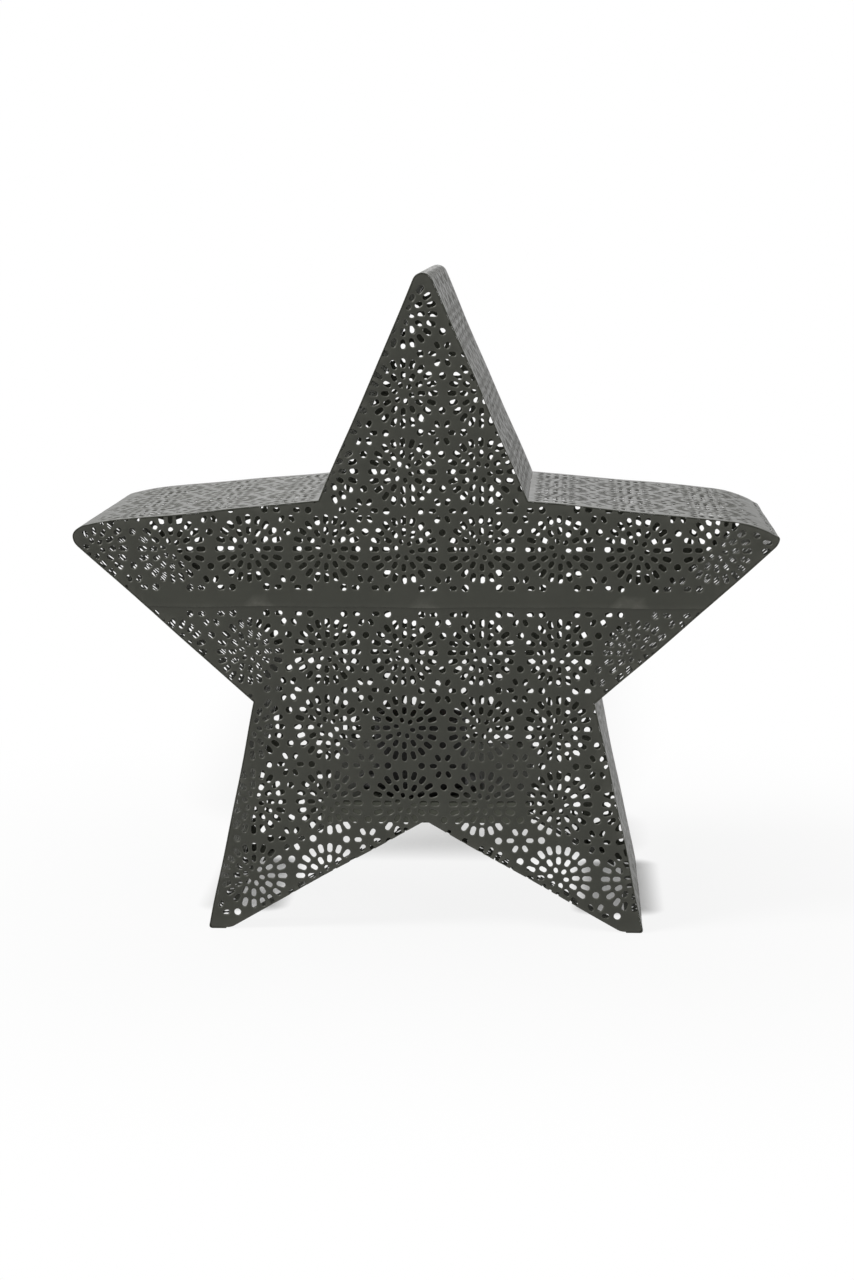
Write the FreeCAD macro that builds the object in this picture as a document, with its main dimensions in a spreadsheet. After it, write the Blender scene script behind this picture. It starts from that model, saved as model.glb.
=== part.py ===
import FreeCAD, Part
import math
import os

# A star-shaped lantern of punched tin that stands on the cut ends of its two lower points.
# Two star faces, each of a lower and an upper punched strip, are joined by punched walls.
# The space between the legs is open below, and a shelf above it carries a loose candle holder.
# Frame: the origin is on the floor under the middle of the star, +Z is up, the front faces -Y.

doc = FreeCAD.newDocument("StarLantern")
sizes = doc.addObject("Spreadsheet::Sheet", "Sizes")

SIZES = [
    ("depth", 161.6, "outer face of the front star to outer face of the back star"),
    ("tin_thickness", 0.5, "sheet of the shell and the shelf"),
    ("foot_outer_half", 126.2, "middle to the outer corner of a foot"),
    ("foot_inner_half", 114.0, "middle to the inner corner of a foot"),
    ("crotch_height", 65.6, "top of the open angle between the legs"),
    ("low_notch_half", 97.5, "middle to the notch between leg and arm"),
    ("low_notch_height", 134.4, "height of that notch"),
    ("arm_tip_half", 210.3, "middle to where the edges of an arm would cross"),
    ("arm_tip_height", 236.0, "height of that crossing"),
    ("arm_tip_radius", 7.8, "outside radius of the bend at an arm's tip"),
    ("high_notch_half", 59.0, "middle to the notch between arm and top point"),
    ("high_notch_height", 250.3, "height of that notch"),
    ("top_tip_height", 386.6, "height where the edges of the top point would cross"),
    ("top_tip_radius", 5.9, "outside radius of the bend at the top"),
    ("lap_height", 189.7, "lower edge of the upper strips"),
    ("lap_overlap", 8.0, "how far the lower strips reach up behind the upper ones"),
    ("pitch", 44.0, "rosette to rosette"),
    ("small_ring_radius", 4.8, "middle of the rosette to the ovals of its small ring"),
    ("small_oval_length", 2.9, "oval of the small ring"),
    ("small_oval_width", 2.0, "oval of the small ring"),
    ("mid_ring_radius", 10.2, "middle of the rosette to the ovals of its middle ring"),
    ("mid_oval_length", 4.2, "oval of the middle ring"),
    ("mid_oval_width", 2.3, "oval of the middle ring"),
    ("big_ring_radius", 16.7, "middle of the rosette to the ovals of its big ring"),
    ("big_oval_length", 5.0, "oval of the big ring"),
    ("big_oval_width", 2.5, "oval of the big ring"),
    ("petal_ring_radius", 5.6, "middle of the flower to its petals"),
    ("petal_length", 3.9, "petal of the flower between four rosettes"),
    ("petal_width", 2.2, "petal of that flower"),
    ("dot_reach", 12.3, "middle of the flower to the four round dots"),
    ("dot_diameter", 3.6, "round dot"),
    ("punch_margin", 1.0, "metal left between a punch and the edge of its sheet"),
    ("face_shift", -11.3, "a rosette's place across the front strips"),
    ("back_shift", -15.4, "a rosette's place across the back strips"),
    ("low_block_start", 9.8, "plain metal below the punched block of a lower strip"),
    ("high_block_start", 11.2, "plain metal below the punched block of an upper strip"),
    ("wall_shift_along", 15.5, "high notch to the first rosette along an arm's wall"),
    ("right_wall_shift", 37.0, "front edge to the first rosette across a right wall"),
    ("left_wall_shift", 1.0, "front edge to the first rosette across a left wall"),
    ("fold_length", 2.0, "length of leg wall that belongs to the fold at the foot"),
    ("flange_depth", 18.0, "depth of the strip that edges the angle between the legs"),
    ("shelf_width", 120.0, "shelf, side to side"),
    ("shelf_top_height", 76.8, "upper face of the shelf"),
    ("seat_gap", 0.3, "gap between neighbours that aren't soldered to each other"),
    ("holder_x", -5.0, "middle of the candle holder, across"),
    ("holder_y", -35.8, "middle of the candle holder, front to back"),
    ("pan_diameter", 74.0, "drip pan, outside"),
    ("pan_lip_height", 3.5, "drip pan, outside"),
    ("pan_thickness", 0.6, "sheet of the drip pan"),
    ("cup_diameter", 53.6, "candle cup, outside"),
    ("cup_height", 40.8, "candle cup, outside"),
    ("cup_thickness", 0.6, "sheet of the candle cup"),
    ("candle_diameter", 48.0, "votive candle"),
    ("candle_height", 26.0, "votive candle"),
    ("foot_disc_diameter", 16.0, "sheet disc that holds the wick upright in the wax"),
    ("foot_disc_thickness", 0.4, "thickness of that disc"),
    ("foot_neck_diameter", 3.2, "tube on that disc"),
    ("foot_neck_height", 4.0, "tube on that disc, above the disc"),
    ("wick_diameter", 1.6, "braided wick"),
    ("wick_showing", 5.0, "wick above the wax"),
    ("wax_gap", 0.1, "gap between the wax and what is cast into it"),
]

OVALS_IN_SMALL_RING = 6
OVALS_IN_MID_RING = 12
OVALS_IN_BIG_RING = 20
PETALS = 6
DOTS = 4
SMALL_RING_TURN = 18.0
SIDES_OF_A_DOT = 6
CELLS_IN_A_BLOCK = 4
FACETS_IN_A_BEND = 6

for row, (alias, value, note) in enumerate(SIZES, start=1):
    sizes.set(f"A{row}", alias)
    sizes.set(f"B{row}", str(value))
    sizes.set(f"C{row}", note)
    sizes.setAlias(f"B{row}", alias)
doc.recompute()


def mm(alias):
    """One size from the sheet."""
    return float(sizes.get(alias))


T = mm("tin_thickness")
HALF_DEPTH = mm("depth") / 2
PITCH = mm("pitch")
HALF_PITCH = PITCH / 2
BLOCK = CELLS_IN_A_BLOCK * PITCH
LAP_TOP = mm("lap_height") + mm("lap_overlap")

FOOT_OUTER = (mm("foot_outer_half"), 0.0)
FOOT_INNER = (mm("foot_inner_half"), 0.0)
CROTCH = (0.0, mm("crotch_height"))
LOW_NOTCH = (mm("low_notch_half"), mm("low_notch_height"))
ARM_TIP = (mm("arm_tip_half"), mm("arm_tip_height"))
HIGH_NOTCH = (mm("high_notch_half"), mm("high_notch_height"))
TOP_TIP = (0.0, mm("top_tip_height"))


def step(start, end, reach):
    """The point at a distance from start towards end."""
    length = math.dist(start, end)
    return tuple(a + (b - a) * reach / length for a, b in zip(start, end))


def mirrored(points):
    """The same points on the left side, in reverse order."""
    return [(-x, z) for x, z in reversed(points)]


def at_height(start, end, height):
    """The point of the line from start to end at a height."""
    part = (height - start[1]) / (end[1] - start[1])
    return (start[0] + (end[0] - start[0]) * part, height)


def bend(before, corner, after, radius):
    """The middle of a bend at a corner, and the points of its outside, counter-clockwise."""
    turn_in = math.atan2(before[1] - corner[1], before[0] - corner[0])
    turn_out = math.atan2(after[1] - corner[1], after[0] - corner[0])
    opening = (turn_out - turn_in) % math.tau
    half = opening / 2
    reach = radius / math.sin(half)
    middle_way = turn_in + half
    centre = (corner[0] + reach * math.cos(middle_way), corner[1] + reach * math.sin(middle_way))
    outward = middle_way + math.pi
    spread = math.pi / 2 - half
    points = []
    for k in range(FACETS_IN_A_BEND + 1):
        angle = outward - spread + 2 * spread * k / FACETS_IN_A_BEND
        points.append((centre[0] + radius * math.cos(angle), centre[1] + radius * math.sin(angle)))
    return centre, points


ARM_CENTRE, ARM_BEND = bend(HIGH_NOTCH, ARM_TIP, LOW_NOTCH, mm("arm_tip_radius"))
LEFT_HIGH_NOTCH = mirrored([HIGH_NOTCH])[0]
TOP_CENTRE, TOP_BEND = bend(LEFT_HIGH_NOTCH, TOP_TIP, HIGH_NOTCH, mm("top_tip_radius"))


def cell_punches():
    """Punches of one cell of the pattern: place, direction, length and width."""
    punches = []
    rings = [
        (OVALS_IN_SMALL_RING, SMALL_RING_TURN, "small_ring_radius", "small_oval_length", "small_oval_width"),
        (OVALS_IN_MID_RING, 0.0, "mid_ring_radius", "mid_oval_length", "mid_oval_width"),
        (OVALS_IN_BIG_RING, 0.0, "big_ring_radius", "big_oval_length", "big_oval_width"),
    ]
    for count, turn, radius, length, width in rings:
        for k in range(count):
            angle = math.radians(turn) + math.pi / 2 - math.tau * k / count
            x = mm(radius) * math.cos(angle)
            z = mm(radius) * math.sin(angle)
            punches.append((x, z, angle, mm(length), mm(width)))
    for k in range(PETALS):
        angle = math.tau * k / PETALS
        x = HALF_PITCH + mm("petal_ring_radius") * math.cos(angle)
        z = HALF_PITCH + mm("petal_ring_radius") * math.sin(angle)
        punches.append((x, z, angle, mm("petal_length"), mm("petal_width")))
    for k in range(DOTS):
        angle = math.tau * k / DOTS
        x = HALF_PITCH + mm("dot_reach") * math.cos(angle)
        z = HALF_PITCH + mm("dot_reach") * math.sin(angle)
        punches.append((x, z, angle, mm("dot_diameter"), mm("dot_diameter")))
    return punches


CELL = cell_punches()


def corners(punch, margin):
    """Corners of a punch, grown by a margin: four for an oval, more for a dot."""
    x, z, angle, length, width = punch
    along = length / 2 + margin
    across = width / 2 + margin
    if length == width:
        turns = [angle - math.tau * k / SIDES_OF_A_DOT for k in range(SIDES_OF_A_DOT)]
        return [(x + along * math.cos(a), z + along * math.sin(a)) for a in turns]
    cos_a = math.cos(angle)
    sin_a = math.sin(angle)
    signs = [(1, 1), (1, -1), (-1, -1), (-1, 1)]
    return [
        (x + i * along * cos_a - j * across * sin_a, z + i * along * sin_a + j * across * cos_a)
        for i, j in signs
    ]


def inside(point, outline):
    """Whether a point lies inside a closed outline."""
    x, z = point
    found = False
    for (ax, az), (bx, bz) in zip(outline, outline[1:] + outline[:1]):
        if (az > z) != (bz > z) and x < (bx - ax) * (z - az) / (bz - az) + ax:
            found = not found
    return found


def pattern(outline, shift_x, shift_z, flip=False, block=None):
    """Punches of the pattern that fit in an outline, within a block of rows if one is given."""
    margin = mm("punch_margin")
    low_x = min(x for x, z in outline)
    high_x = max(x for x, z in outline)
    low_z = min(z for x, z in outline)
    high_z = max(z for x, z in outline)
    slack = margin / 10
    kept = []
    for i in range(math.floor((low_x - shift_x) / PITCH) - 1, math.ceil((high_x - shift_x) / PITCH) + 1):
        for j in range(math.floor((low_z - shift_z) / PITCH) - 1, math.ceil((high_z - shift_z) / PITCH) + 1):
            for x, z, angle, length, width in CELL:
                if flip:
                    x = -x
                    angle = math.pi - angle
                punch = (x + i * PITCH + shift_x, z + j * PITCH + shift_z, angle, length, width)
                if block and not block[0] - slack < punch[1] < block[1] + slack:
                    continue
                grown = corners(punch, margin)
                if not all(inside(point, outline) for point in grown):
                    continue
                if any(inside(point, grown) for point in outline):
                    continue
                kept.append(punch)
    return kept


def loop(points, height=0.0):
    """A closed wire through points of the local XY plane."""
    vectors = [FreeCAD.Vector(x, y, height) for x, y in points]
    return Part.makePolygon(vectors + vectors[:1])


def turned_left(points):
    """The points in counter-clockwise order."""
    area = sum(ax * bz - bx * az for (ax, az), (bx, bz) in zip(points, points[1:] + points[:1]))
    return points if area > 0 else list(reversed(points))


def punched_face(name, outline, punches, placement):
    """A flat face with its punches, drawn in its own plane and then set in its place."""
    rim = loop(turned_left(outline))
    holes = [loop(list(reversed(turned_left(corners(punch, 0.0))))) for punch in punches]
    face = doc.addObject("Part::Feature", name + "_face")
    face.Shape = Part.Face([rim] + holes)
    face.Placement = placement
    return face


def pulled(name, face, direction, length):
    """A solid pulled out of a face, its length bound to the sheet of sizes."""
    solid = doc.addObject("Part::Extrusion", name)
    solid.Base = face
    solid.DirMode = "Custom"
    solid.Dir = direction
    solid.Solid = True
    solid.setExpression("LengthFwd", length)
    return solid


def labelled(solid, name):
    solid.Label = name
    return solid


def upright(y):
    """The placement that stands a drawing up at a depth: drawn x stays x, drawn y becomes z."""
    return FreeCAD.Placement(FreeCAD.Vector(0, y, 0), FreeCAD.Rotation(FreeCAD.Vector(1, 0, 0), 90))


INWARD = {"front": FreeCAD.Vector(0, 1, 0), "back": FreeCAD.Vector(0, -1, 0)}
FACE_SIGN = {"front": -1, "back": 1}

LOW_EDGE = at_height(LOW_NOTCH, ARM_TIP, LAP_TOP)
HIGH_EDGE = at_height(LOW_NOTCH, ARM_TIP, mm("lap_height"))
RIGHT_LOW = [FOOT_INNER, FOOT_OUTER, LOW_NOTCH, LOW_EDGE]
LOW_OUTLINE = RIGHT_LOW + mirrored(RIGHT_LOW) + [CROTCH]
RIGHT_HIGH = [HIGH_EDGE] + ARM_BEND + [HIGH_NOTCH]
HIGH_OUTLINE = RIGHT_HIGH + TOP_BEND + mirrored(RIGHT_HIGH)


def star_strips(side):
    """The lower and the upper strip of one star face."""
    flip = side == "back"
    shift = mm("back_shift") if flip else mm("face_shift")
    low_start = mm("low_block_start")
    high_start = mm("lap_height") + mm("high_block_start")
    strips = []
    for level, outline, start, lift in [
        ("lower", LOW_OUTLINE, low_start, 0.0),
        ("upper", HIGH_OUTLINE, high_start, T),
    ]:
        name = f"{side}_{level}_panel"
        punches = pattern(outline, shift, start + HALF_PITCH, flip, (start, start + BLOCK))
        place = upright(FACE_SIGN[side] * (HALF_DEPTH + lift))
        face = punched_face(name, outline, punches, place)
        strips.append(labelled(pulled(name + "_sheet", face, INWARD[side], "Sizes.tin_thickness"), name))
        print(name, len(punches), "punches")
    return strips


def wall_sheet(name, start, end, outward, shift, front, span, sheet_name):
    """A punched wall between two points of the outline, from a depth on over a span of depth."""
    length = math.dist(start, end)
    outline = [(0.0, 0.0), (length, 0.0), (length, span), (0.0, span)]
    punches = pattern(outline, mm("wall_shift_along"), shift - front)
    along = FreeCAD.Vector((end[0] - start[0]) / length, 0, (end[1] - start[1]) / length)
    across = FreeCAD.Vector(0, 1, 0)
    normal = along.cross(across)
    turn = FreeCAD.Rotation(along, across, normal, "XYZ")
    place = FreeCAD.Placement(FreeCAD.Vector(start[0], front - HALF_DEPTH, start[1]), turn)
    face = punched_face(sheet_name, outline, punches, place)
    inward = normal * (-1 if normal.dot(FreeCAD.Vector(outward[0], 0, outward[1])) > 0 else 1)
    print(name, len(punches), "punches")
    return pulled(sheet_name, face, inward, "Sizes.tin_thickness")


def upright_prism(name, points, front, length):
    """A plain solid with a cross-section in the XZ plane, pulled towards the back."""
    face = doc.addObject("Part::Feature", name + "_face")
    face.Shape = Part.Face(loop(points))
    face.Placement = upright(front)
    return pulled(name, face, FreeCAD.Vector(0, 1, 0), length)


def joined(name, first, second):
    solid = doc.addObject("Part::Fuse", name + "_whole")
    solid.Base = first
    solid.Tool = second
    return labelled(solid, name)


def bent_band(centre, outer, radius):
    """Cross-section of a bend: its outside points and the same points one thickness further in."""
    share = (radius - T) / radius
    inner = [(centre[0] + (x - centre[0]) * share, centre[1] + (z - centre[1]) * share) for x, z in outer]
    return outer + list(reversed(inner))


def flip_points(points, sign):
    return [(sign * x, z) for x, z in points]


LOW_SPAN = mm("depth") - 2 * T
LOW_SPAN_EXPRESSION = "Sizes.depth - 2 * Sizes.tin_thickness"
HIGH_SPAN = mm("depth")
HIGH_SPAN_EXPRESSION = "Sizes.depth"
ARM_LOW_TANGENT = ARM_BEND[0]
ARM_HIGH_TANGENT = ARM_BEND[-1]
TOP_RIGHT_TANGENT = TOP_BEND[0]


def foot_fold(sign):
    """Cross-section of the foot: the end of the leg's wall, turned under to rest on the floor."""
    fold_end = step(FOOT_OUTER, LOW_NOTCH, mm("fold_length"))
    lean = (LOW_NOTCH[0] - FOOT_OUTER[0]) / math.dist(FOOT_OUTER, LOW_NOTCH)
    rise = (LOW_NOTCH[1] - FOOT_OUTER[1]) / math.dist(FOOT_OUTER, LOW_NOTCH)
    inner_end = (fold_end[0] - rise * T, fold_end[1] + lean * T)
    inner_corner = at_height((inner_end[0] - lean, inner_end[1] - rise), inner_end, T)
    slope = math.atan2(CROTCH[1], FOOT_INNER[0])
    free_edge = FOOT_INNER[0] + T / math.sin(slope) + mm("seat_gap")
    points = [FOOT_OUTER, fold_end, inner_end, inner_corner, (free_edge, T), (free_edge, 0.0)]
    return fold_end, flip_points(points, sign)


def leg_wall(side):
    sign, shift = SIDES[side]
    name = f"{side}_leg_wall"
    fold_end, points = foot_fold(sign)
    start = flip_points([LOW_NOTCH], sign)[0]
    end = flip_points([fold_end], sign)[0]
    sheet = wall_sheet(name, start, end, (sign, 0.0), shift, T, LOW_SPAN, name + "_sheet")
    fold = upright_prism(name + "_fold", points, T - HALF_DEPTH, LOW_SPAN_EXPRESSION)
    return joined(name, sheet, fold)


def arm_lower_wall(side):
    """The wall under an arm, with the bend that takes it round the tip."""
    sign, shift = SIDES[side]
    name = f"{side}_arm_lower_wall"
    start, end = flip_points([LOW_NOTCH, ARM_LOW_TANGENT], sign)
    sheet = wall_sheet(name, start, end, (0.0, -1.0), shift, T, LOW_SPAN, name + "_sheet")
    points = flip_points(bent_band(ARM_CENTRE, ARM_BEND, mm("arm_tip_radius")), sign)
    tip = upright_prism(name + "_tip", points, T - HALF_DEPTH, LOW_SPAN_EXPRESSION)
    return joined(name, sheet, tip)


def arm_upper_wall(side):
    sign, shift = SIDES[side]
    name = f"{side}_arm_upper_wall"
    start, end = flip_points([HIGH_NOTCH, ARM_HIGH_TANGENT], sign)
    sheet = wall_sheet(name, start, end, (0.0, 1.0), shift, 0.0, HIGH_SPAN, name + "_sheet")
    return labelled(sheet, name)


def top_wall(side):
    """A wall of the top point. The right one is bent over the tip to meet the left one."""
    sign, shift = SIDES[side]
    name = f"top_{side}_wall"
    start, end = flip_points([HIGH_NOTCH, TOP_RIGHT_TANGENT], sign)
    sheet = wall_sheet(name, start, end, (sign, 0.0), shift, 0.0, HIGH_SPAN, name + "_sheet")
    if sign < 0:
        return labelled(sheet, name)
    points = bent_band(TOP_CENTRE, TOP_BEND, mm("top_tip_radius"))
    tip = upright_prism(name + "_tip", points, -HALF_DEPTH, HIGH_SPAN_EXPRESSION)
    return joined(name, sheet, tip)


SIDES = {"left": (-1, mm("left_wall_shift")), "right": (1, mm("right_wall_shift"))}


def arch_flange(side):
    """The strip that edges the open angle between the legs, behind one star face."""
    name = f"{side}_arch_flange"
    slope = math.atan2(CROTCH[1], FOOT_INNER[0])
    outer = [FOOT_INNER, CROTCH, flip_points([FOOT_INNER], -1)[0]]
    foot = (FOOT_INNER[0] + T / math.sin(slope), 0.0)
    peak = (0.0, CROTCH[1] + T / math.cos(slope))
    inner = [flip_points([foot], -1)[0], peak, foot]
    front = T - HALF_DEPTH if side == "front" else HALF_DEPTH - T - mm("flange_depth")
    return labelled(upright_prism(name + "_strip", outer + inner, front, "Sizes.flange_depth"), name)


SHELF_BOTTOM = (
    "Sizes.crotch_height + Sizes.seat_gap"
    " + Sizes.tin_thickness / cos(atan(Sizes.crotch_height / Sizes.foot_inner_half))"
)


def candle_shelf():
    """The shelf: a sheet with its four edges turned down, soldered to both star faces."""
    outer = doc.addObject("Part::Box", "shelf_block")
    outer.setExpression("Length", "Sizes.shelf_width")
    outer.setExpression("Width", LOW_SPAN_EXPRESSION)
    outer.setExpression("Height", f"Sizes.shelf_top_height - ({SHELF_BOTTOM})")
    outer.setExpression("Placement.Base.x", "-Sizes.shelf_width / 2")
    outer.setExpression("Placement.Base.y", "Sizes.tin_thickness - Sizes.depth / 2")
    outer.setExpression("Placement.Base.z", SHELF_BOTTOM)
    hollow = doc.addObject("Part::Box", "shelf_hollow")
    hollow.setExpression("Length", "Sizes.shelf_width - 2 * Sizes.tin_thickness")
    hollow.setExpression("Width", "Sizes.depth - 4 * Sizes.tin_thickness")
    hollow.setExpression("Height", f"Sizes.shelf_top_height - Sizes.tin_thickness - ({SHELF_BOTTOM})")
    hollow.setExpression("Placement.Base.x", "Sizes.tin_thickness - Sizes.shelf_width / 2")
    hollow.setExpression("Placement.Base.y", "2 * Sizes.tin_thickness - Sizes.depth / 2")
    hollow.setExpression("Placement.Base.z", SHELF_BOTTOM)
    return cut("candle_shelf", outer, hollow)


def cut(name, base, tool):
    solid = doc.addObject("Part::Cut", name + "_cut")
    solid.Base = base
    solid.Tool = tool
    return labelled(solid, name)


def round_bar(name, diameter, height, bottom):
    """A cylinder on the holder's axis, its sizes bound to the sheet."""
    bar = doc.addObject("Part::Cylinder", name)
    bar.setExpression("Radius", f"({diameter}) / 2")
    bar.setExpression("Height", height)
    bar.setExpression("Placement.Base.x", "Sizes.holder_x")
    bar.setExpression("Placement.Base.y", "Sizes.holder_y")
    bar.setExpression("Placement.Base.z", bottom)
    return bar


PAN_BOTTOM = "Sizes.shelf_top_height"
CUP_BOTTOM = PAN_BOTTOM + " + Sizes.pan_thickness"
WAX_BOTTOM = CUP_BOTTOM + " + Sizes.cup_thickness"
DISC_TOP = WAX_BOTTOM + " + Sizes.foot_disc_thickness"
NECK_TOP = DISC_TOP + " + Sizes.foot_neck_height"


def drip_pan():
    outer = round_bar("pan_outer", "Sizes.pan_diameter", "Sizes.pan_lip_height", PAN_BOTTOM)
    inner = round_bar(
        "pan_inner",
        "Sizes.pan_diameter - 2 * Sizes.pan_thickness",
        "Sizes.pan_lip_height",
        CUP_BOTTOM,
    )
    return cut("drip_pan", outer, inner)


def candle_cup():
    outer = round_bar("cup_outer", "Sizes.cup_diameter", "Sizes.cup_height", CUP_BOTTOM)
    inner = round_bar(
        "cup_inner",
        "Sizes.cup_diameter - 2 * Sizes.cup_thickness",
        "Sizes.cup_height",
        WAX_BOTTOM,
    )
    return cut("candle_cup", outer, inner)


def votive_candle():
    """The wax, with the room that the wick and its foot take."""
    wax = round_bar("wax_block", "Sizes.candle_diameter", "Sizes.candle_height", WAX_BOTTOM)
    disc_room = round_bar(
        "wax_disc_room",
        "Sizes.foot_disc_diameter + 2 * Sizes.wax_gap",
        "Sizes.foot_disc_thickness + Sizes.wax_gap",
        WAX_BOTTOM,
    )
    neck_room = round_bar(
        "wax_neck_room",
        "Sizes.foot_neck_diameter + 2 * Sizes.wax_gap",
        "Sizes.foot_disc_thickness + Sizes.foot_neck_height + Sizes.wax_gap",
        WAX_BOTTOM,
    )
    wick_room = round_bar(
        "wax_wick_room",
        "Sizes.wick_diameter + 2 * Sizes.wax_gap",
        "Sizes.candle_height",
        WAX_BOTTOM,
    )
    rooms = doc.addObject("Part::MultiFuse", "wax_rooms")
    rooms.Shapes = [disc_room, neck_room, wick_room]
    return cut("votive_candle", wax, rooms)


def wick_foot():
    """The disc and tube under the wick. The tube is closed on the wick with a gap all round."""
    disc = round_bar("foot_disc", "Sizes.foot_disc_diameter", "Sizes.foot_disc_thickness", WAX_BOTTOM)
    neck = round_bar("foot_neck", "Sizes.foot_neck_diameter", "Sizes.foot_neck_height", DISC_TOP)
    bore = round_bar(
        "foot_bore",
        "Sizes.wick_diameter + 2 * Sizes.wax_gap",
        "Sizes.foot_neck_height",
        DISC_TOP,
    )
    whole = doc.addObject("Part::Fuse", "foot_blank")
    whole.Base = disc
    whole.Tool = neck
    return cut("wick_foot", whole, bore)


def wick():
    height = "Sizes.candle_height - Sizes.foot_disc_thickness + Sizes.wick_showing"
    return labelled(round_bar("wick_braid", "Sizes.wick_diameter", height, DISC_TOP), "wick")


subparts = []
for face_side in ("front", "back"):
    subparts += star_strips(face_side)
for wall_side in SIDES:
    subparts.append(leg_wall(wall_side))
    subparts.append(arm_lower_wall(wall_side))
    subparts.append(arm_upper_wall(wall_side))
    subparts.append(top_wall(wall_side))
for flange_side in ("front", "back"):
    subparts.append(arch_flange(flange_side))
subparts += [candle_shelf(), drip_pan(), candle_cup(), votive_candle(), wick_foot(), wick()]

doc.recompute()

for item in doc.Objects:
    if "Invalid" in item.State or "Error" in item.State:
        raise RuntimeError(f"{item.Name} failed: {item.State}")
for item in subparts:
    if item.Shape.isNull() or not item.Shape.isValid():
        raise RuntimeError(f"{item.Label} has no valid shape")
    if len(item.Shape.Solids) != 1:
        raise RuntimeError(f"{item.Label} has {len(item.Shape.Solids)} solids")

os.makedirs("parts", exist_ok=True)
for item in subparts:
    item.Shape.exportStep(f"parts/{item.Label}.step")
    print(item.Label, round(item.Shape.Volume, 1), "mm3")
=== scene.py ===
import math
import random
from collections import namedtuple

import bpy
import numpy as np
from mathutils import Matrix, Vector
from mathutils.geometry import delaunay_2d_cdt


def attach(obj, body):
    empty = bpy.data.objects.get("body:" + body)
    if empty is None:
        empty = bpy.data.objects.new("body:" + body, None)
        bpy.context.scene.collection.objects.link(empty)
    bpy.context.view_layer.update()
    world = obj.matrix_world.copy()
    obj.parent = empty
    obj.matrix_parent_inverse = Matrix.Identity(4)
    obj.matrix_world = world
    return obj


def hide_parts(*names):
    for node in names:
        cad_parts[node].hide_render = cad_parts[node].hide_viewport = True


# The lantern's punched sheets are drawn flat, with every punch as a rounded, dished hole,
# and then bent into place round the star. Lengths are in millimetres until a mesh is made.

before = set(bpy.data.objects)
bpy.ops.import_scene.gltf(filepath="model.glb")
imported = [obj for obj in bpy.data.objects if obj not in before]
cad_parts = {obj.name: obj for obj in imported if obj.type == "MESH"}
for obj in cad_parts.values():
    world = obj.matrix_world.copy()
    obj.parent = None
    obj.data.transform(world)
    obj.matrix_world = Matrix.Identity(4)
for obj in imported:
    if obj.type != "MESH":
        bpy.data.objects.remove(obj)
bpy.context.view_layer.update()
MM = 0.001
RANDOM = random.Random(46)

# ---- sizes, as in the CAD source ----

TIN = 0.5
HALF_DEPTH = 80.8
FOOT_OUTER = (126.2, 0.0)
FOOT_INNER = (114.0, 0.0)
CROTCH = (0.0, 65.6)
LOW_NOTCH = (97.5, 134.4)
ARM_TIP = (210.3, 236.0)
ARM_TIP_RADIUS = 7.8
HIGH_NOTCH = (59.0, 250.3)
TOP_TIP = (0.0, 386.6)
TOP_TIP_RADIUS = 5.9
LAP_HEIGHT = 189.7
LAP_OVERLAP = 8.0
PITCH = 44.0
HALF_PITCH = PITCH / 2
BLOCK = 4 * PITCH
LOW_BLOCK = 9.8
HIGH_BLOCK = LAP_HEIGHT + 11.2
WALL_SHIFT_ALONG = 15.5
WALL_SHIFT_ACROSS = {"left": 1.0, "right": 37.0}
FLANGE_DEPTH = 18.0
SHELF_WIDTH = 120.0
SHELF_TOP = 76.8
HOLDER = (-5.0, -35.8)
PAN_RADIUS = 37.0
PAN_HEIGHT = 3.5
PAN_TIN = 0.6
CUP_RADIUS = 26.8
CUP_HEIGHT = 40.8
CANDLE_RADIUS = 24.0
CANDLE_HEIGHT = 26.0
DISC_RADIUS = 8.0
DISC_THICKNESS = 0.4
NECK_RADIUS = 1.6
NECK_HEIGHT = 4.0
WICK_RADIUS = 0.8
WICK_SHOWING = 5.0

# Side of the lantern: which way its face looks along Y, and a rosette's place across its strips.
FACES = {"front": (-1, -11.3), "back": (1, -15.4)}

# ---- sizes that only the visual model has ----

SHELF_BOTTOM = 64.2  # the turned-down edge reaches lower than in the solid
FOOT_OUTER_RADIUS = 1.6
FOOT_INNER_RADIUS = 9.0
FOLD_END = (FOOT_INNER[0] + 2.0, 0.0)
RIM_PROUD = 0.15  # walls stand out past the star's faces
EDGE_BEVEL = 0.2  # rounding of a star strip's edges
WALL_BEVEL = 0.1  # and of a wall's
WALL_INSET = TIN + 0.07 + EDGE_BEVEL
LAP_RISE = 3.0  # below the lap a wall's rim starts to rise to the upper strip

PUNCH_GROWTH = 0.3  # added to the length and width of every punch
LONG_PUNCH = 3.5  # longer ones get one more point at each end
HOLE_MARGIN = 0.95  # least metal between a whole punch and the sheet's edge
WALL_HOLE_MARGIN = 2.2  # and between one and a wall's rim
BLOCK_SLACK = 0.2  # how far past the punched block a punch may lie
NEARBY = 4.0  # punches further out than this don't reach the sheet

NOTCH_DEPTH = 0.7  # least depth of a notch in a sheet's edge
NOTCH_TO_CORNER = 1.2
NOTCH_TO_EDGE = 1.0
NOTCH_TO_HOLE = 0.45
NOTCH_TO_NOTCH = 0.6

DISH_SHARE = 0.41  # share of the metal between two punches that one's dish takes
DISH_LEAST, DISH_MOST = 0.25, 0.85
DISH_TO_EDGE = 0.5
DISH_FULL = 0.7  # a dish that reaches this far is as deep as it gets
DISH_SHALLOWEST = 0.35  # share of that depth in one without room
PANEL_DISH = 0.5
WALL_DISH = 0.32
TORN_TIN = 0.14  # thickness of the torn rim
PANEL_BULGE = 0.05
WALL_BULGE = 0.09
CALM_EDGE = 14.0  # bulges die down this near to a sheet's edge

GRID_STEP = 5.2  # between loose points over plain metal
FLANGE_GRID_STEP = 4.0
EDGE_STEP = 5.0  # longest piece of a sheet's edge
BEND_STEP = 1.3  # longest piece of a bend

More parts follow.
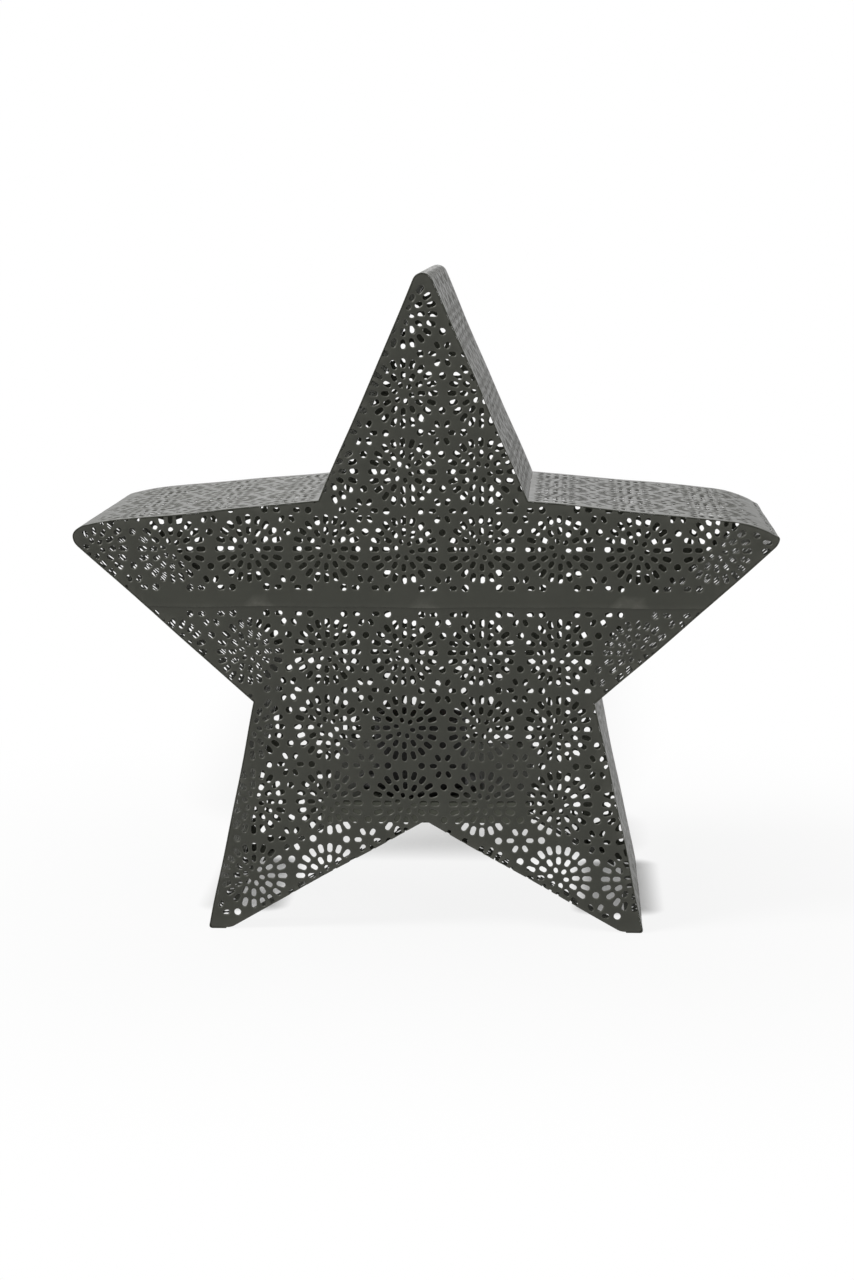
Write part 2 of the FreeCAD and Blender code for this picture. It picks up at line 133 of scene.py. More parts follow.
# How far an arm's upper edge sinks at its tip, from which reach on and over what run.
DROOP_RIGHT, DROOP_LEFT = 5.8, 2.2
DROOP_START, DROOP_RUN = 171.0, 26.0


# ---- camera ----

def make_camera():
    """The photograph's viewpoint, solved from the pattern on the front and back faces."""
    yaw, pitch, roll = 0.0552, 0.1735, -0.004
    place = Vector((78.41, -1468.87, 414.63)) * MM
    focal, image_height, sensor = 2486.22, 1280, 36.0
    forward = Vector((-math.sin(yaw) * math.cos(pitch), math.cos(yaw) * math.cos(pitch), -math.sin(pitch)))
    right = Vector((math.cos(yaw), math.sin(yaw), 0))
    up = right.cross(forward)
    right, up = right * math.cos(roll) + up * math.sin(roll), up * math.cos(roll) - right * math.sin(roll)
    data = bpy.data.cameras.new("photo_camera")
    data.sensor_width = sensor
    data.lens = focal / image_height * sensor
    data.clip_start = 0.05
    data.clip_end = 50
    camera = bpy.data.objects.new("photo_camera", data)
    bpy.context.collection.objects.link(camera)
    turn = Matrix((right, up, -forward)).transposed()
    camera.matrix_world = Matrix.Translation(place) @ turn.to_4x4()
    bpy.context.scene.camera = camera


make_camera()


# ---- geometry in a plane ----

def cross(u, v):
    return u[0] * v[1] - u[1] * v[0]


def direction(start, end):
    """Length of the way from a start to an end, and its direction."""
    way = np.subtract(end, start)
    length = np.linalg.norm(way)
    return length, way / length


def divided(points, longest):
    """A run of points or stations with its long steps divided."""
    points, fuller = np.asarray(points), []
    for start, end in zip(points, points[1:]):
        parts = max(1, math.ceil(math.hypot(*np.atleast_1d(end - start)) / longest))
        fuller += [start + (end - start) * k / parts for k in range(parts)]
    return fuller + [points[-1]]


def at_height(start, end, height):
    share = (height - start[1]) / (end[1] - start[1])
    return (start[0] + (end[0] - start[0]) * share, height)


def height_at(start, end, x):
    return start[1] + (end[1] - start[1]) * (x - start[0]) / (end[0] - start[0])


def eased(values, start, end):
    """Soft step from 0 at the start to 1 at the end."""
    share = np.clip((values - start) / (end - start), 0, 1)
    return share * share * (3 - 2 * share)


# ---- the pattern ----

RINGS = [
    # count, first angle, radius, length, width
    (6, 108.0, 4.8, 2.9, 2.1),
    (12, 90.0, 10.2, 4.2, 2.4),
    (20, 90.0, 16.7, 5.0, 2.6),
]
PETAL_RING = (6, 0.0, 5.6, 3.9, 2.3)
DOTS = 4
DOT_REACH = 12.3
DOT_DIAMETER = 3.6

# A hole: its punch, the points of its rim, the way out at each and how far its dish runs there.
Hole = namedtuple("Hole", "punch rim outward reach")
# A notch: where it begins and ends along its edge, its depth, its path, and both ends as places.
Notch = namedtuple("Notch", "begin finish depth path enter leave")


def cell_punches(flip):
    """Punches of one cell: place, direction, length and width. The back faces have it turned round."""
    punches = []
    for count, first, radius, length, width in RINGS:
        for k in range(count):
            angle = math.radians(first - 360 * k / count)
            punches.append((radius * math.cos(angle), radius * math.sin(angle), angle, length, width))
    count, first, radius, length, width = PETAL_RING
    flower = [(first + 360 * k / count, radius, length, width) for k in range(count)]
    flower += [(360 * k / DOTS, DOT_REACH, DOT_DIAMETER, DOT_DIAMETER) for k in range(DOTS)]
    for degrees, radius, length, width in flower:
        angle = math.radians(degrees)
        x = HALF_PITCH + radius * math.cos(angle)
        z = HALF_PITCH + radius * math.sin(angle)
        punches.append((x, z, angle, length, width))
    if flip:
        punches = [(-x, z, math.pi - angle, length, width) for x, z, angle, length, width in punches]
    return [(x, z, angle, length + PUNCH_GROWTH, width + PUNCH_GROWTH)
            for x, z, angle, length, width in punches]


def rim(punch):
    """Edge of a punch, counter-clockwise, and the outward direction at each of its points."""
    x, z, angle, length, width = punch
    ends = 7 if length > LONG_PUNCH else 6
    if length == width:
        turns = np.arange(2 * ends) * math.pi / ends
        shift = np.zeros(2 * ends)
    else:
        half = np.linspace(-math.pi / 2, math.pi / 2, ends)
        turns = np.concatenate([half, half + math.pi])
        shift = np.repeat([(length - width) / 2, (width - length) / 2], ends)
    cos_a, sin_a = math.cos(angle), math.sin(angle)
    along, across = shift + width / 2 * np.cos(turns), width / 2 * np.sin(turns)
    points = np.stack([x + along * cos_a - across * sin_a, z + along * sin_a + across * cos_a], 1)
    outward = np.stack([np.cos(turns + angle), np.sin(turns + angle)], 1)
    return points, outward


def distances(points, others):
    """Distance from each point to the nearest of the others."""
    return np.sqrt(((points[:, None] - others[None]) ** 2).sum(2)).min(1)


def dish_reaches(cell):
    """How far the dish round each punch of a cell runs out, given the metal up to its neighbours."""
    rim_highlight = [rim(punch)[0] for punch in cell]
    steps = [(i * PITCH, j * PITCH) for i in (-1, 0, 1) for j in (-1, 0, 1)]
    reaches = []
    for k, points in enumerate(rim_highlight):
        others = [r + step for m, r in enumerate(rim_highlight) for step in steps if m != k or step != (0.0, 0.0)]
        reach = np.clip(distances(points, np.concatenate(others)) * DISH_SHARE, DISH_LEAST, DISH_MOST)
        smooth = (np.roll(reach, 1) + 2 * reach + np.roll(reach, -1)) / 4
        reaches.append(np.minimum(reach, smooth))
    return reaches


CELLS = {flip: cell_punches(flip) for flip in (False, True)}
REACHES = {flip: dish_reaches(CELLS[flip]) for flip in (False, True)}


def inside(points, outline):
    """Which points lie inside a closed outline."""
    found = np.zeros(len(points), bool)
    for (ax, az), (bx, bz) in zip(outline, np.roll(outline, -1, 0)):
        if az == bz:
            continue
        spans = (az > points[:, 1]) != (bz > points[:, 1])
        found ^= spans & (points[:, 0] < (bx - ax) * (points[:, 1] - az) / (bz - az) + ax)
    return found


def edge_distances(points, outline):
    """Distance from each point to each edge of an outline."""
    start = np.asarray(outline)
    run = np.roll(start, -1, 0) - start
    size = (run ** 2).sum(1)
    way = points[:, None] - start[None]
    share = np.clip((way * run[None]).sum(2) / size[None], 0, 1)
    return np.sqrt(((way - share[..., None] * run[None]) ** 2).sum(2))


def depth_inside(points, outline):
    """Distance to the nearest edge, negative outside."""
    near = edge_distances(points, outline).min(1)
    return np.where(inside(points, outline), near, -near)


def jittered(punch):
    """The punch as a hand places it, a little off its mark."""
    x, z, angle, length, width = punch
    grow = 1 + RANDOM.uniform(-0.02, 0.02)
    return (x + RANDOM.uniform(-0.07, 0.07), z + RANDOM.uniform(-0.07, 0.07),
            angle + RANDOM.uniform(-0.02, 0.02), length * grow, width * grow)


def pattern(outline, shift_x, shift_z, flip=False, block=None, notch_edges=()):
    """Holes that fit in an outline, and the notches where the cut sheet's edge runs through a punch."""
    outline = np.asarray(outline, float)
    low, high = outline.min(0), outline.max(0)
    shift = np.array([shift_x, shift_z])
    first = np.floor((low - shift) / PITCH).astype(int) - 1
    last = np.ceil((high - shift) / PITCH).astype(int) + 1
    holes, crossing = [], []
    for i in range(first[0], last[0]):
        for j in range(first[1], last[1]):
            for (x, z, angle, length, width), room in zip(CELLS[flip], REACHES[flip]):
                x, z = x + i * PITCH + shift_x, z + j * PITCH + shift_z
                if block and not block[0] - BLOCK_SLACK < z < block[1] + BLOCK_SLACK:
                    continue
                if not (low[0] - NEARBY < x < high[0] + NEARBY and low[1] - NEARBY < z < high[1] + NEARBY):
                    continue
                punch = jittered((x, z, angle, length, width))
                points, outward = rim(punch)
                depth = depth_inside(points, outline)
                if depth.min() >= HOLE_MARGIN:
                    reach = np.maximum(np.minimum(room, depth - DISH_TO_EDGE), DISH_LEAST)
                    holes.append(Hole(punch, points, outward, reach))
                elif depth.max() > NOTCH_DEPTH:
                    crossing.append(points)
    return holes, notches(outline, crossing, holes, notch_edges)


def notches(outline, crossing, holes, notch_edges):
    """For each edge, its notches in order. Of two that would touch, the deeper one stays.

    A notch is the inner side of a punch's rim, and open towards the edge.
    """
    taken = np.concatenate([hole.rim + hole.outward * hole.reach[:, None] for hole in holes])
    found = {}
    for points in crossing:
        near = edge_distances(points[inside(points, outline)], outline).min(0)
        edge = int(near.argmin())
        if edge not in notch_edges:
            continue
        start, end = outline[edge], outline[(edge + 1) % len(outline)]
        length, along = direction(start, end)
        inward = np.array([-along[1], along[0]])
        local = np.stack([(points - start) @ along, (points - start) @ inward], 1)
        local = np.roll(local, -int(local[:, 0].argmax()), 0)
        path = local[int(local[:, 0].argmin())::-1]
        path = path[path[:, 1] > 0.05]
        if len(path) < 3 or path[0, 0] < NOTCH_TO_CORNER or path[-1, 0] > length - NOTCH_TO_CORNER:
            continue
        depth = path[:, 1].max()
        world = start + path[:, :1] * along + path[:, 1:] * inward
        other_edges = np.delete(edge_distances(world, outline), edge, 1)
        if other_edges.min() < NOTCH_TO_EDGE or depth < NOTCH_DEPTH:
            continue
        if distances(world, taken).min() < NOTCH_TO_HOLE:
            continue
        begin, finish = path[0, 0], path[-1, 0]
        notch = Notch(begin, finish, depth, world, start + along * begin, start + along * finish)
        found.setdefault(edge, []).append(notch)
    for edge, row in found.items():
        kept = []
        for notch in sorted(row, key=lambda item: item.begin):
            if not kept or notch.begin >= kept[-1].finish + NOTCH_TO_NOTCH:
                kept.append(notch)
            elif notch.depth > kept[-1].depth:
                kept[-1] = notch
        found[edge] = kept
    return found


def with_notches(outline, cuts):
    """The outline with its notches cut in and its long edges divided."""
    points = []
    for edge, cursor in enumerate(outline):
        for notch in cuts.get(edge, []):
            points += divided([cursor, notch.enter], EDGE_STEP) + list(notch.path)
            cursor = notch.leave
        points += divided([cursor, outline[(edge + 1) % len(outline)]], EDGE_STEP)[:-1]
    return np.array(points)


# ---- one punched sheet ----

def outline_normals(loop):
    """Outward direction at each point of a counter-clockwise loop, longer at its corners."""
    before, after = loop - np.roll(loop, 1, 0), np.roll(loop, -1, 0) - loop
    before /= np.linalg.norm(before, axis=1)[:, None]
    after /= np.linalg.norm(after, axis=1)[:, None]
    both = np.stack([before[:, 1] + after[:, 1], -before[:, 0] - after[:, 0]], 1)
    sharpest = 0.6
    return both / np.maximum((both ** 2).sum(1) / 2, sharpest)[:, None]


def triangles(name, flat, loop_size, following):
    """Triangles of the flat drawing. Its points are the loop's, those of the holes' rims and loose ones."""
    edges = [(k, (k + 1) % loop_size) for k in range(loop_size)]
    edges += [(loop_size + k, loop_size + int(after)) for k, after in enumerate(following)]
    corners = [Vector(p) for p in flat.tolist()]
    _, _, tris, origin, _, _ = delaunay_2d_cdt(corners, edges, [list(range(loop_size))], 2, 1e-5)
    if not all(origin):
        raise RuntimeError(f"{name}: rims cross")
    return np.array([o[0] for o in origin])[np.array(tris)]


def quads(a, b, c, d):
    """Faces with the corners a + c, a + d, b + d and b + c, where some are rows of numbers."""
    return np.stack([a + c, a + d, b + d, b + c], 1).tolist()


def punched_mesh(name, loop, holes, place, bevel, free_points, dish, bulge=0.0):
    """A sheet with dished holes, drawn flat within a loop and put in place by a function."""
    base = np.concatenate([hole.rim for hole in holes])
    outward = np.concatenate([hole.outward for hole in holes])
    reach = np.concatenate([hole.reach for hole in holes])
    depth = np.concatenate([
        np.full(len(hole.rim), dish * min(1, DISH_SHALLOWEST
                                          + (1 - DISH_SHALLOWEST) * hole.reach.mean() / DISH_FULL))
        for hole in holes])
    following = np.arange(len(base)) + 1
    starts = np.cumsum([0] + [len(hole.rim) for hole in holes])
    following[starts[1:] - 1] = starts[:-1]
    outer = base + outward * reach[:, None]
    halfway = base + outward * (reach * 0.45)[:, None]
    halfway_inside = base + outward * (reach * 0.4)[:, None]
    rounded_edge = loop + outline_normals(loop) * bevel

    layers = [
        # points, depth, on the inner side, worn paint and painted highlight
        (loop, 0.0, 0, 0.2),
        (rounded_edge, bevel, 0, 0.5),
        (rounded_edge, TIN - bevel * 0.6, 1, 0.2),
        (loop, TIN, 1, 0.0),
        (outer, 0.0, 0, 0.0),
        (halfway, depth * 0.3, 0, 0.35),
        (base, depth, 0, 1.0),
        (base, depth + TORN_TIN, 1, 0.15),
        (halfway_inside, depth * 0.6 + TORN_TIN + 0.1, 1, 0.0),
        (outer, TIN, 1, 0.0),
        (free_points, 0.0, 0, 0.0),
        (free_points, TIN, 1, 0.0),
    ]
    outside_layers, inside_layers = (0, 4, 10), (3, 9, 11)
    edge_bands, hole_bands = range(3), range(4, 9)
    sizes = [len(layer[0]) for layer in layers]
    offsets = np.cumsum([0] + sizes)
    marks = np.array([np.repeat([layer[kind] for layer in layers], sizes) for kind in (2, 3)], float)
    points = np.concatenate([layer[0] for layer in layers])
    depths = np.concatenate([np.broadcast_to(layer[1], size) for layer, size in zip(layers, sizes)])
    if bulge:
        x, z = points[:, 0], points[:, 1]
        wave = np.sin(x / 11.3 + z / 17.9 + len(name)) + np.sin(z / 8.7 - x / 23.1) + np.sin(x / 6.1 + 1.3)
        depths = depths + bulge * wave * eased(np.abs(depth_inside(points, loop)), 0, CALM_EDGE)
    xyz = place(points[:, 0], points[:, 1], depths)

    def numbers(used):
        """Numbers in the mesh of the flat drawing's points."""
        return np.concatenate([offsets[k] + np.arange(sizes[k]) for k in used])

    flat = np.concatenate([layers[k][0] for k in outside_layers])
    tris = triangles(name, flat, len(loop), following)
    faces = numbers(outside_layers)[tris].tolist() + numbers(inside_layers)[tris[:, ::-1]].tolist()
    along_loop, along_rims = np.arange(len(loop)), np.arange(len(base))
    for layer in edge_bands:
        faces += quads(offsets[layer], offsets[layer + 1], np.roll(along_loop, -1), along_loop)
    for layer in hole_bands:
        faces += quads(offsets[layer], offsets[layer + 1], along_rims, following)
    first = xyz[np.array(faces[0])]
    normal = np.cross(first[1] - first[0], first[2] - first[0])
    middle = flat[tris[0]].mean(0)
    top, low = (place(middle[:1], middle[1:], np.full(1, level)) for level in (0.0, 1.0))
    if normal @ (top - low)[0] < 0:
        faces = [face[::-1] for face in faces]
    return xyz, faces, marks


def arm_droop(x, z):
    """How far an arm's upper edge sinks towards its tip, more on the right than on the left."""
    reach = np.abs(x)
    low, high = height_at(LOW_NOTCH, ARM_TIP, reach), height_at(HIGH_NOTCH, ARM_TIP, reach)
    height = np.clip((z - low) / np.maximum(high - low, 6), 0, 1)
    amount = np.where(x > 0, DROOP_RIGHT, DROOP_LEFT)
    return amount * height ** 2 * np.clip((reach - DROOP_START) / DROOP_RUN, 0, 1.1) ** 2


def handmade(xyz):
    """The small unevenness of a shell bent and soldered by hand. The feet stay on the floor."""
    x, y, z = xyz[:, 0], xyz[:, 1], xyz[:, 2]
    xyz = xyz - np.stack([0 * x, 0 * x, arm_droop(x, z)], 1)
    fade = np.clip(z / 25, 0, 1)[:, None]
    field = np.stack([
        0.28 * np.sin(z / 21 + y / 47) + 0.16 * np.sin(z / 9.3 - x / 31),
        0.16 * np.sin(x / 27 + z / 33) * np.sign(y),
        0.26 * np.sin(x / 23 + y / 52) + 0.15 * np.sin(x / 9.9 + z / 41),
    ], 1)
    return xyz + fade * field


def add_object(node, ending, meshes, slot, body, smooth=40):
    """One object out of one or more point-and-face lists, riding on a body in place of its CAD node."""
    name = f"{node}_{ending}"
    points, faces, count, marks = [], [], 0, []
    for xyz, rows, *extra in meshes:
        marks.append(extra[0] if extra else np.zeros((2, len(xyz))))
        points.append(np.asarray(xyz, float))
        faces += [[v + count for v in row] for row in rows]
        count += len(xyz)
    mesh = bpy.data.meshes.new(name)
    mesh.from_pydata((np.concatenate(points) * MM).tolist(), [], faces)
    for kind, values in zip(("hidden", "wear_and_highlight"), np.concatenate(marks, 1)):
        mesh.attributes.new(kind, "FLOAT", "POINT").data.foreach_set("value", values)
    mesh.validate()
    mesh.polygons.foreach_set("use_smooth", [True] * len(mesh.polygons))
    mesh.set_sharp_from_angle(angle=math.radians(smooth))
    mesh.materials.append(MATERIALS[slot])
    piece = bpy.data.objects.new(name, mesh)
    bpy.context.collection.objects.link(piece)
    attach(piece, body)
    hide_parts(node)


def grid_points(outline, holes, spacing, extra=np.zeros((0, 2))):
    """Loose points over the plain metal, so that it can bend and bulge."""
    to_edge, to_dish = 0.7, 0.35
    low, high = outline.min(0), outline.max(0)
    xs = np.arange(low[0] + spacing / 2, high[0], spacing)
    zs = np.arange(low[1] + spacing / 2, high[1], spacing)
    grid = np.stack(np.meshgrid(xs, zs), -1).reshape(-1, 2)
    grid[:, 0] += 0.37 * np.sin(grid[:, 1] * 1.7)
    grid = np.concatenate([grid, extra])
    grid = grid[depth_inside(grid, outline) > to_edge]
    for hole in holes:
        x, z, angle, length, width = hole.punch
        way = grid - (x, z)
        along = np.abs(way[:, 0] * math.cos(angle) + way[:, 1] * math.sin(angle)) - (length - width) / 2
        across = np.abs(-way[:, 0] * math.sin(angle) + way[:, 1] * math.cos(angle))
        far = np.hypot(np.maximum(along, 0), across)
        grid = grid[far > width / 2 + hole.reach.max() + to_dish]
    return grid


# ---- materials ----

class Shading:
    """A node tree, with short ways to add what the materials here use."""

    def __init__(self, owner):
        owner.use_nodes = True
        self.nodes, self.link = owner.node_tree.nodes, owner.node_tree.links.new

    def fill(self, node, inputs):
        """Sets a node's inputs, each to a value or to another node's output."""
        for key, value in inputs.items():
            if isinstance(value, bpy.types.NodeSocket):
                self.link(value, node.inputs[key])
            else:
                node.inputs[key].default_value = value

    def add(self, kind, output, inputs=None, **settings):
        """The output of a new node with these inputs and settings."""
        node = self.nodes.new(kind)
        for key, value in settings.items():
            setattr(node, key, value)
        self.fill(node, inputs or {})
        return node.outputs[output]

    def ramp(self, value, *stops):
        """Two stops, each a position and a colour."""
        node = self.nodes.new("ShaderNodeValToRGB")
        for element, (position, colour) in zip(node.color_ramp.elements, stops):
            element.position = position
            element.color = (*colour, 1)
        self.fill(node, {"Fac": value})
        return node.outputs["Color"]

    def mix(self, share, first, second, mode="MIX"):
        inputs = {"Factor": share, "A": first, "B": second}
        return self.add("ShaderNodeMix", "Result", inputs, data_type="RGBA", blend_type=mode)

    def math(self, operation, first, second):
        return self.add("ShaderNodeMath", "Value", {0: first, 1: second}, operation=operation)

    def vector(self, operation, first, second=(0, 0, 0), output="Vector"):
        return self.add("ShaderNodeVectorMath", output, {0: first, 1: second}, operation=operation)

    def mix_shaders(self, share, first, second):
        return self.add("ShaderNodeMixShader", "Shader", {"Fac": share, 1: first, 2: second})

    def bumps(self, *layers):
        """Bumps on top of each other: height, strength, distance."""
        below = {}
        for height, strength, distance in layers:
            inputs = {"Strength": strength, "Distance": distance, "Height": height, **below}
            below = {"Normal": self.add("ShaderNodeBump", "Normal", inputs)}
        return below["Normal"]


class Surface(Shading):
    """A new material, with its shader and the place on the object."""

    def __init__(self, name):
        self.material = bpy.data.materials.new(name)
        super().__init__(self.material)
        self.shader = self.nodes["Principled BSDF"]
        self.place = self.add("ShaderNodeTexCoord", "Object")

    def noise(self, scale, detail, roughness=0.55):
        inputs = {"Vector": self.place, "Scale": scale, "Detail": detail, "Roughness": roughness}
        return self.add("ShaderNodeTexNoise", "Fac", inputs)

    def finished(self, inputs):
        """The material, once its shader has these inputs."""
        self.fill(self.shader, inputs)
        return self.material


def grey(value):
    return (value, value, value)


def painted_tin_material(name, dark, light, wear_and_highlight, rough_low, rough_high):
    """Thin satin paint on tin: cloudy, finely grained, rubbed a little lighter along its edges, with lighter
    rims round the holes that are worn paint and painted highlight.
    """
    surface = Surface(name)
    clouds = surface.noise(22, 4)
    grain = surface.noise(900, 2)
    smears = surface.noise(75, 5, 0.65)
    base = surface.ramp(clouds, (0.32, dark), (0.7, light))
    tint = surface.ramp(smears, (0.35, grey(0.86)), (0.68, grey(1.0)))
    base = surface.mix(1.0, base, tint, "MULTIPLY")
    edges = surface.add("ShaderNodeNewGeometry", "Pointiness")
    rubbed = surface.ramp(edges, (0.52, grey(0.0)), (0.62, grey(1.0)))
    patchy = surface.ramp(smears, (0.42, grey(0.45)), (0.62, grey(0.9)))
    # rims round the holes and along the sheets' edges take the lighter colour: painted highlight, and worn
    # paint
    rim_highlight = surface.add("ShaderNodeAttribute", "Fac", attribute_name="wear_and_highlight")
    share = surface.mix(1.0, surface.math("MAXIMUM", rubbed, rim_highlight), patchy, "MULTIPLY")
    base = surface.mix(share, base, (*wear_and_highlight, 1))
    inner_side = surface.add("ShaderNodeAttribute", "Fac", attribute_name="hidden")
    rough = surface.ramp(smears, (0.3, grey(rough_low)), (0.7, grey(rough_high)))
    return surface.finished({
        # the inner side gets a lighter colour, painted fill light where the inside lies in shade; its higher
        # roughness is the finish
        "Base Color": surface.mix(inner_side, base, (*(1.7 * c for c in light), 1)),
        "Roughness": surface.mix(inner_side, rough, (*grey(0.7), 1)),
        "Specular Tint": (1.0, 0.985, 0.92, 1),
        "Normal": surface.bumps((smears, 0.25, 0.0006), (grain, 0.2, 0.00015)),
    })


def wax_material():
    surface = Surface("ivory_wax")
    cloud = surface.noise(45, 4)
    return surface.finished({
        "Base Color": surface.ramp(cloud, (0.3, (0.80, 0.72, 0.55)), (0.7, (0.88, 0.82, 0.68))),
        "Roughness": 0.42,
        "Subsurface Weight": 0.35,
        "Subsurface Scale": 0.004,
        "Normal": surface.bumps((cloud, 0.3, 0.0005)),
    })


def wick_material():
    """White cotton, charred from a little above the wax."""
    surface = Surface("cotton_wick")
    char_start, char_full = 0.1045, 0.1075
    height = surface.add("ShaderNodeSeparateXYZ", "Z", {0: surface.place})
    burnt = surface.add("ShaderNodeMapRange", "Result",
                        {"From Min": char_start, "From Max": char_full, "Value": height})
    char = surface.ramp(burnt, (0.0, (0.72, 0.66, 0.5)), (1.0, (0.012, 0.011, 0.01)))
    fibre = surface.noise(2600, 3)
    streaks = surface.ramp(fibre, (0.3, grey(0.1)), (0.7, grey(0.9)))
    return surface.finished({
        "Base Color": surface.mix(0.35, char, streaks, "OVERLAY"),
        "Roughness": 0.9,
        "Normal": surface.bumps((fibre, 0.6, 0.0002)),
    })


def wick_foot_material():
    surface = Surface("wick_foot_tin")
    brushed = surface.noise(700, 4)
    return surface.finished({
        "Base Color": surface.ramp(brushed, (0.3, grey(0.42)), (0.7, grey(0.62))),
        "Metallic": 1.0,
        "Roughness": surface.ramp(brushed, (0.3, grey(0.28)), (0.7, grey(0.45))),
        "Normal": surface.bumps((brushed, 0.2, 0.0001)),
    })


# the third colour of each is for worn paint and painted highlight along edges and hole rims
TIN_DARK, TIN_LIGHT, TIN_WEAR_AND_HIGHLIGHT = (0.023, 0.025, 0.018), (0.031, 0.033, 0.025), (0.10, 0.10, 0.085)
BLACK_DARK, BLACK_LIGHT, BLACK_WEAR_AND_HIGHLIGHT = grey(0.017), grey(0.025), grey(0.06)
MATERIALS = {
    "painted_tin": painted_tin_material("grey_painted_tin", TIN_DARK, TIN_LIGHT, TIN_WEAR_AND_HIGHLIGHT, 0.34, 0.46),
    "black_tin": painted_tin_material("black_painted_tin", BLACK_DARK, BLACK_LIGHT, BLACK_WEAR_AND_HIGHLIGHT, 0.5, 0.62),
    "wax": wax_material(),
    "cotton": wick_material(),
    "wick_metal": wick_foot_material(),
}


# ---- the star's outlines ----

def bend(before, corner, after, radius, facets):
    """Middle, first angle, turn and points of a rounded corner, in the direction of travel."""
    u, v = direction(before, corner)[1], direction(corner, after)[1]
    turn = math.atan2(cross(u, v), u @ v)
    reach = radius * math.tan(abs(turn) / 2)
    side = np.array([-u[1], u[0]]) * math.copysign(1, turn)
    centre = np.asarray(corner) - u * reach + side * radius
    first = math.atan2(-side[1], -side[0])
    angles = first + turn * np.arange(facets + 1) / facets
    points = np.stack([centre[0] + radius * np.cos(angles), centre[1] + radius * np.sin(angles)], 1)
    return centre, first, turn, points


def rounded(before, corner, after, radius, facets=14):
    """Points of a rounded corner, from tangent to tangent."""
    return [tuple(p) for p in bend(before, corner, after, radius, facets)[3]]


def mirrored(points):
    return [(-x, z) for x, z in reversed(points)]


def inset(outline, steps):
    """The outline with each edge moved inwards by its own distance."""
    outline = np.asarray(outline, float)
    run = np.roll(outline, -1, 0) - outline
    along = run / np.linalg.norm(run, axis=1)[:, None]
    inward = np.stack([-along[:, 1], along[:, 0]], 1)
    moved = outline + inward * np.asarray(steps)[:, None]
    points = []
    for k, (b, v) in enumerate(zip(moved, along)):
        a, u = moved[k - 1], along[k - 1]
        straight_on = abs(cross(u, v)) < 1e-6
        points.append(b if straight_on else a + u * (cross(b - a, v) / cross(u, v)))
    return np.array(points)


LEFT_HIGH_NOTCH = (-HIGH_NOTCH[0], HIGH_NOTCH[1])
LAP_TOP = LAP_HEIGHT + LAP_OVERLAP
ARM_BEND = rounded(LOW_NOTCH, ARM_TIP, HIGH_NOTCH, ARM_TIP_RADIUS)
TOP_BEND = rounded(HIGH_NOTCH, TOP_TIP, LEFT_HIGH_NOTCH, TOP_TIP_RADIUS)


def lower_outline():
    """Outline of a lower strip: its edges stand back from the walls' rims, and its feet have round corners."""
    right = [FOOT_INNER, FOOT_OUTER, LOW_NOTCH, at_height(LOW_NOTCH, ARM_TIP, LAP_TOP)]
    outline = right + mirrored(right) + [CROTCH]
    steps = [WALL_INSET] * 3 + [EDGE_BEVEL] + [WALL_INSET] * 3 + [EDGE_BEVEL] * 2
    foot_radii = {0: FOOT_INNER_RADIUS, 1: FOOT_OUTER_RADIUS, 6: FOOT_OUTER_RADIUS, 7: FOOT_INNER_RADIUS}
    sharp = inset(outline, steps)
    points = []
    for k, corner in enumerate(sharp):
        if k in foot_radii:
            points += rounded(sharp[k - 1], corner, sharp[(k + 1) % len(sharp)], foot_radii[k], 6)
        else:
            points.append(corner)
    return np.array(points)


def upper_outline():
    right = [at_height(LOW_NOTCH, ARM_TIP, LAP_HEIGHT)] + ARM_BEND + [HIGH_NOTCH]
    outline = right + TOP_BEND + mirrored(right)
    return inset(outline, [WALL_INSET] * (len(outline) - 1) + [EDGE_BEVEL])


def long_edges(outline, shortest=20):
    """Numbers of the sloping edges that a punch may run across."""
    run = np.roll(outline, -1, 0) - outline
    return {k for k, way in enumerate(run) if np.linalg.norm(way) > shortest and abs(way[1]) > 1}


# Level of a strip: its outline, the height where its punches start and how far it stands out.
STRIPS = {"lower": (lower_outline(), LOW_BLOCK, 0.0), "upper": (upper_outline(), HIGH_BLOCK, TIN)}


def star_strip(side, level):
    """One punched strip of a star face. The upper strip laps over the lower one."""
    sign, shift = FACES[side]
    outline, start, lift = STRIPS[level]
    block = (start, start + BLOCK)
    holes, cuts = pattern(outline, shift, start + HALF_PITCH, side == "back", block, long_edges(outline))
    loop = with_notches(outline, cuts)

    def place(x, z, depth):
        return handmade(np.stack([x, sign * (HALF_DEPTH + lift - depth), z], 1))

    loose = grid_points(loop, holes, GRID_STEP)
    mesh = punched_mesh(f"{side}_{level}", loop, holes, place, EDGE_BEVEL, loose, PANEL_DISH, PANEL_BULGE)
    add_object(f"{side}_{level}_panel", "tin", [mesh], "painted_tin", "root")


for face_side in FACES:
    for face_level in STRIPS:
        star_strip(face_side, face_level)


# ---- walls ----

